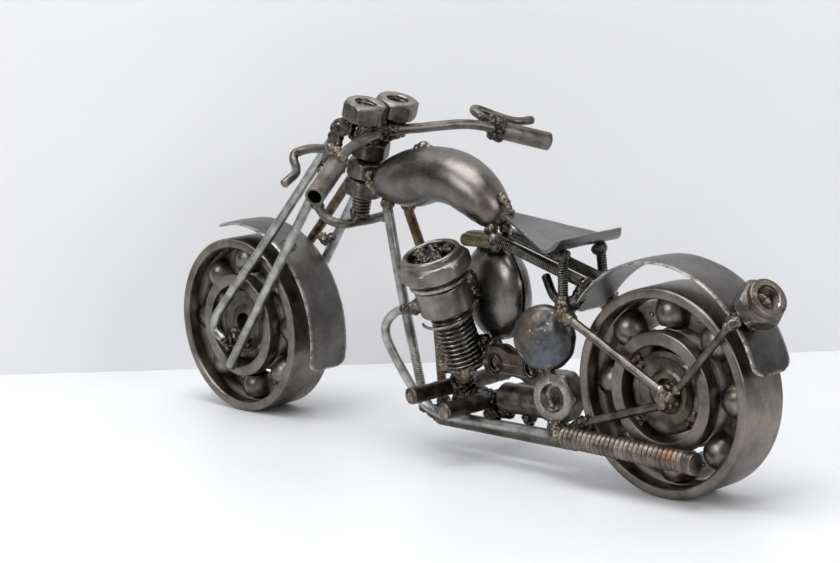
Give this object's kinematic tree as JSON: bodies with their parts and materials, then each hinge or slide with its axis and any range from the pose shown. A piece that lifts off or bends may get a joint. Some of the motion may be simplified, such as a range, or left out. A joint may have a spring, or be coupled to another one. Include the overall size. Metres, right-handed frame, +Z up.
{
  "type": "scrap metal motorcycle figurine",
  "caption": "Desk figurine of a long-forked motorcycle welded from nuts, bolts, rods, sheet strips and ball bearings; the bearing wheels roll and the fork steers.",
  "frame": {"origin": "centre of the bounding box's footprint, on the surface that the wheels stand on", "axes": "+X forwards, towards the front wheel; +Y to the rider's left, the side with the exhaust; +Z up"},
  "size_m": [0.221, 0.0906, 0.0957],
  "materials": {
    "bearing_steel": "satin ground bearing steel, tan-grey, with heat tint",
    "ball_steel": "polished balls in a grey pressed-steel cage",
    "hub_steel": "dark turned steel with weld bridges",
    "satin_nut": "worn satin nut steel with bright edges",
    "dark_thread": "dark oily threaded rod",
    "zinc_rod": "bright grey zinc-plated rod",
    "rusty_rod": "rod with brassy and brown rust tint",
    "dark_rod": "dark satin rod",
    "sheet_steel": "satin rolled sheet with a darker heat-stained patina",
    "grip_steel": "satin turned steel with copper-tinted ends",
    "burnished_tank": "burnished dark steel with brown heat tint",
    "engine_steel": "tan-grey satin steel with blue and orange heat tint",
    "brass_insert": "knurled dull brass",
    "muffler_steel": "brown-grey coarse threaded rod with bright crests"
  },
  "bodies": {
    "frame": {"rear_inner_race": "bearing_steel", "rear_hub_plug": "hub_steel", "head_nut_lower": "satin_nut", "head_nut_upper": "satin_nut", "tank": "burnished_tank", "filler_cap": "burnished_tank", "seat": "sheet_steel", "upper_rail_left": "dark_thread", "upper_rail_right": "dark_thread", "seat_stay_left": "dark_rod", "seat_stay_right": "dark_rod", "chain_stay_left": "dark_rod", "chain_stay_right": "dark_rod", "fender_strut_left": "dark_rod", "fender_strut_right": "dark_rod", "down_tube_left": "zinc_rod", "down_tube_right": "rusty_rod", "bottom_rail": "dark_rod", "seat_post_left": "dark_thread", "seat_post_right": "dark_thread", "seat_brace": "dark_thread", "rear_fender": "sheet_steel", "tail_light_nut": "satin_nut", "cylinder_cap": "engine_steel", "cylinder_band": "engine_steel", "cylinder_fins": "engine_steel", "dome_left": "engine_steel", "dome_right": "engine_steel", "clutch_cover": "engine_steel", "sprocket_nut": "satin_nut", "chain_link": "dark_thread", "head_bar": "satin_nut", "knurled_insert": "brass_insert", "crankcase_bar": "satin_nut", "exhaust_header": "zinc_rod", "muffler": "muffler_steel", "foot_peg_front": "grip_steel", "foot_peg_rear": "grip_steel"},
    "fork": {"fork_nut": "satin_nut", "steering_bolt": "dark_thread", "fork_leg_front_left": "zinc_rod", "fork_leg_front_right": "rusty_rod", "fork_leg_rear_left": "zinc_rod", "fork_leg_rear_right": "zinc_rod", "upper_yoke": "zinc_rod", "lower_yoke": "rusty_rod", "front_fender": "sheet_steel", "handlebar": "zinc_rod", "grip_left": "grip_steel", "grip_right": "grip_steel", "lever_left": "zinc_rod", "lever_right": "zinc_rod", "gauge_nut_left": "satin_nut", "gauge_nut_right": "satin_nut", "front_inner_race": "bearing_steel", "front_hub_plug": "hub_steel"},
    "rear_wheel": {"rear_outer_race": "bearing_steel"},
    "rear_cage": {"rear_ball_cage": "ball_steel"},
    "front_wheel": {"front_outer_race": "bearing_steel"},
    "front_cage": {"front_ball_cage": "ball_steel"}
  },
  "joints": [
    {"name": "steering", "type": "hinge", "parent": "frame", "child": "fork", "pos_m": [0.03507, -0.00004, 0.062], "axis": [-0.2874, 0, 0.9578], "range_deg": [-30, 30]},
    {"name": "rear_wheel_spin", "type": "hinge", "parent": "frame", "child": "rear_wheel", "pos_m": [-0.07753, -0.00004, 0.026], "axis": [0, 1, 0], "continuous": true},
    {"name": "rear_cage_spin", "type": "hinge", "parent": "frame", "child": "rear_cage", "pos_m": [-0.07753, -0.00004, 0.026], "axis": [0, 1, 0], "continuous": true},
    {"name": "front_wheel_spin", "type": "hinge", "parent": "fork", "child": "front_wheel", "pos_m": [0.08447, -0.00004, 0.026], "axis": [0, 1, 0], "continuous": true},
    {"name": "front_cage_spin", "type": "hinge", "parent": "fork", "child": "front_cage", "pos_m": [0.08447, -0.00004, 0.026], "axis": [0, 1, 0], "continuous": true}
  ],
  "couplings": [
    {"joint": "rear_cage_spin", "follows": "rear_wheel_spin", "ratio": 0.62},
    {"joint": "front_cage_spin", "follows": "front_wheel_spin", "ratio": 0.62}
  ]
}
